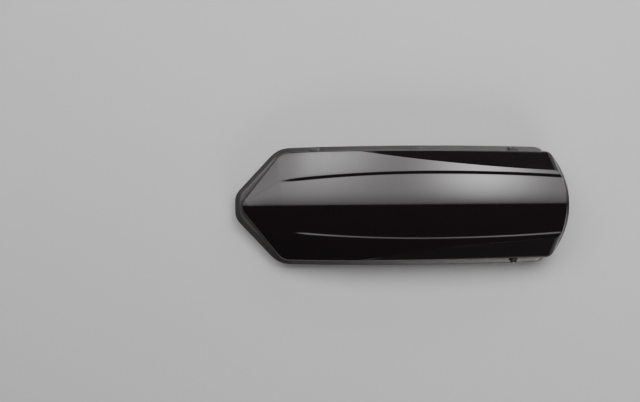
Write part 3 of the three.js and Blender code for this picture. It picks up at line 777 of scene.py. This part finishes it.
STRUT_RIVET_X = (-0.018, 0.018)
STRUT_RIVET_Y = (0.248, 0.264)
STRUT_PLATE_TOP = FLOOR_TOP + 0.004
RIVET_RADIUS = 0.0036
FLOOR_RIB_X = 0.150
FLOOR_RIB_HALF = (0.760, 0.009)
FLOOR_RIB_Z = (FLOOR_UNDERSIDE - 0.0016, FLOOR_UNDERSIDE + 0.001)
FLOOR_RIB_Y = (-0.165, -0.110, -0.055, 0, 0.055, 0.110, 0.165)
FLOOR_RIB_CORNER = 0.0088


def make_seal():
    seal = loft("seal", [ring(tray_plan(inset), z) for inset, z in SEAL_PROFILE])
    add_to(seal, "soft_black", "tray", "lid_seal")


def make_mat():
    """A rubber mat with ribs along the box."""
    low = FLOOR_TOP + MAT_GAP
    side_top = MAT_RIB_TOP - MAT_CHAMFER
    top_side = MAT_HALF - MAT_CHAMFER
    section = [(MAT_HALF, low), (-MAT_HALF, low), (-MAT_HALF, side_top), (-top_side, MAT_RIB_TOP)]
    start = -MAT_PITCH * MAT_RIBS / 2
    down, along, up = GROOVE_STEPS
    for index in range(MAT_RIBS):
        y = start + MAT_PITCH * index
        section += [(y, MAT_RIB_TOP), (y + down, MAT_GROOVE)]
        section += [(y + along, MAT_GROOVE), (y + up, MAT_RIB_TOP)]
    section += [(top_side, MAT_RIB_TOP), (MAT_HALF, side_top)]
    mat = loft("mat", [[(x, y, z) for y, z in section] for x in MAT_X], caps=True)
    for polygon in mat.data.polygons:
        polygon.use_smooth = False
    add_to(mat, "mat", "tray", "floor_mat")


def make_buckles():
    """Cam buckles: a frame and a ribbed lever, with the strap's end clips and its loose end."""
    for number, x in enumerate(STRAP_X, start=1):
        frame_plate = rounded_slab("frame", (x, BUCKLE_Y), BUCKLE_HALF, *BUCKLE_Z, 0.003)
        lever = rounded_slab("lever", (x, BUCKLE_Y + LEVER_SHIFT), LEVER_HALF, *LEVER_Z, 0.004)
        ribs = []
        for step in range(LEVER_RIBS):
            y = BUCKLE_Y + LEVER_RIB_START + LEVER_RIB_PITCH * step
            ribs.append(rounded_slab("rib", (x, y), LEVER_RIB_HALF, *LEVER_RIB_Z, 0.001))
        buckle = join(f"buckle_{number}", [frame_plate, lever, *ribs])
        add_to(soften(buckle, 0.0005), "dark_plastic", "tray", f"strap_buckle_{number}")
        for side in (-1, 1):
            clip = rounded_slab("clip", (x, side * CLIP_Y), CLIP_HALF, *CLIP_Z, 0.003)
            clip.name = f"strap_clip_{number}_{'hinge' if side > 0 else 'lock'}"
            add_to(soften(clip, 0.0006), "dark_plastic", "tray")
        tail = rounded_slab("tail", (x, TAIL_Y), TAIL_HALF, *TAIL_Z, 0.004)
        tail.name = f"strap_tail_{number}"
        add_to(tail, "webbing", "tray")


def make_rivets():
    for number, x in enumerate(HINGE_X, start=1):
        places = [(x + dx, HINGE_FACE, z) for dx in HINGE_RIVET_X for z in HINGE_RIVET_Z]
        heads = [button(place, (0, 1, 0), RIVET_RADIUS, 0.0013) for place in places]
        add_to(join(f"hinge_rivets_{number}", heads), "steel", "lid")
    for end, x in zip(("front", "rear"), STRUT_X):
        places = [(x + dx, y, STRUT_PLATE_TOP) for dx in STRUT_RIVET_X for y in STRUT_RIVET_Y]
        heads = [button(place, (0, 0, 1), RIVET_RADIUS, 0.0014) for place in places]
        add_to(join(f"strut_{end}_rivets", heads), "steel", "tray")


def make_floor_ribs():
    """Shallow stiffening ribs pressed into the underside of the tray's floor."""
    places = [(FLOOR_RIB_X, y) for y in FLOOR_RIB_Y]
    ribs = [rounded_slab("rib", place, FLOOR_RIB_HALF, *FLOOR_RIB_Z, FLOOR_RIB_CORNER) for place in places]
    add_to(soften(join("floor_ribs", ribs), 0.0012), "textured_black", "tray")


BIG_NODES = ("lid_shell", "base_tray", "lid_seal", "floor_mat", "strap_buckle_1", "strap_buckle_2")


def make_small_parts():
    for node in frame["nodes"]:
        if node not in BIG_NODES:
            low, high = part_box(node)
            thinnest = min(high - low)
            refine(node, min(0.0008, thinnest * 0.12))


# ---------- Stage, lights and camera ----------
CAMERA_HEIGHT = 9.0
CAMERA_SPOT = (-0.567, 0.0346)
CAMERA_ROLL = math.radians(-0.46)
LENS = 70.4
PANEL_X = (-10.0, 8.0)
PANEL_Y = (0.95, 8.2)
PANEL_Z = 9.6
FLOOR_HALF = 30
SIDE_PANEL_Y = 9.0
SIDE_PANEL_X = (1.2, 9.0)
HORIZON_STRENGTH = 0.10
ZENITH_STRENGTH = 0.045


def make_camera():
    data = bpy.data.cameras.new("camera")
    data.lens = LENS
    data.clip_end = 200
    camera = bpy.data.objects.new("camera", data)
    bpy.context.scene.collection.objects.link(camera)
    camera.location = (*CAMERA_SPOT, CAMERA_HEIGHT)
    camera.rotation_euler = (0, 0, CAMERA_ROLL)
    bpy.context.scene.camera = camera


def make_floor():
    half = FLOOR_HALF
    corners = [(-half, -half, 0), (half, -half, 0), (half, half, 0), (-half, half, 0)]
    floor = mesh_object("floor", corners, [(0, 1, 2, 3)], merge=None, smooth=False)
    n = Nodes("pale_floor")
    tone = n.colour(n.noise(0.8, 3), (0.44, 0.44, 0.44), (0.47, 0.47, 0.47))
    floor.data.materials.append(n.set(Base_Color=tone, Roughness=0.9, Specular_IOR_Level=0.1))


def bump_along(n, value, centre, width):
    """A smooth bell that is 1 where `value` equals `centre`."""
    away = n.math("DIVIDE", n.math("SUBTRACT", value, centre), width)
    return n.math("EXPONENT", n.math("MULTIPLY", n.math("MULTIPLY", away, away), -1.0), 0.0)


def add_glow(panel, n, colour, strength):
    """Turns the panel into a light that the camera doesn't see."""
    n.tree.nodes.remove(n.shader)
    glow = n.node("ShaderNodeEmission", {"Color": (*colour, 1), "Strength": strength})
    n.tree.links.new(glow.outputs[0], n.tree.nodes["Material Output"].inputs[0])
    panel.data.materials.append(n.material)
    panel.visible_camera = False


def side_panel(name, y, x_span, z_span, strength):
    """A low soft box beside the stage; it lights the sloping rim and misses the lid."""
    (x0, x1), (z0, z1) = x_span, z_span
    corners = [(x0, y, z0), (x1, y, z0), (x1, y, z1), (x0, y, z1)]
    panel = mesh_object(name, corners, [(0, 1, 2, 3)], merge=None, smooth=False)
    add_glow(panel, Nodes(f"{name}_glow"), (1, 0.98, 0.97), strength)


def light_panel():
    """A wide soft panel over the hinge side, with two brighter pools and a dim edge above the ridge."""
    (x0, x1), (y0, y1) = PANEL_X, PANEL_Y
    corners = [(x0, y1, PANEL_Z), (x1, y1, PANEL_Z), (x1, y0, PANEL_Z), (x0, y0, PANEL_Z)]
    panel = mesh_object("overhead_panel", corners, [(0, 1, 2, 3)], merge=None, smooth=False)
    n = Nodes("panel_glow")
    split = n.node("ShaderNodeSeparateXYZ", {0: n.coords}).outputs
    along, across = split[0], split[1]
    strength = n.ramp(across, 1.0, 2.6, 1.6, 3.5)
    rear_pool = n.math("MULTIPLY", n.ramp(across, 1.2, 3.8, 0, 12.0), bump_along(n, along, 2.1, 1.7))
    front_pool = n.math("MULTIPLY", n.ramp(across, 1.2, 7.0, 0, 6.5), bump_along(n, along, -4.1, 2.0))
    strength = n.math("ADD", strength, n.math("ADD", rear_pool, front_pool))
    add_glow(panel, n, (1, 0.975, 0.985), strength)


def make_lights():
    """A dim studio round the panel, a little lighter towards the horizon."""
    world = bpy.data.worlds.new("studio")
    world.use_nodes = True
    tree = world.node_tree
    coords = tree.nodes.new("ShaderNodeTexCoord")
    split = tree.nodes.new("ShaderNodeSeparateXYZ")
    ramp = tree.nodes.new("ShaderNodeMapRange")
    tree.links.new(coords.outputs["Generated"], split.inputs[0])
    tree.links.new(split.outputs[2], ramp.inputs["Value"])
    ramp.inputs["From Min"].default_value = 0.0
    ramp.inputs["From Max"].default_value = 0.45
    ramp.inputs["To Min"].default_value = HORIZON_STRENGTH
    ramp.inputs["To Max"].default_value = ZENITH_STRENGTH
    tree.links.new(ramp.outputs[0], tree.nodes["Background"].inputs["Strength"])
    tree.nodes["Background"].inputs["Color"].default_value = (1, 0.99, 1, 1)
    bpy.context.scene.world = world
    light_panel()
    side_panel("lock_side_panel", -SIDE_PANEL_Y, SIDE_PANEL_X, (4.0, 7.6), 10.0)
    side_panel("hinge_side_panel", SIDE_PANEL_Y, SIDE_PANEL_X, (4.0, 6.6), 7.0)


make_camera()
make_floor()
make_lights()
make_lid()
make_tray()
make_seal()
make_mat()
make_buckles()
make_rivets()
make_floor_ribs()
make_small_parts()
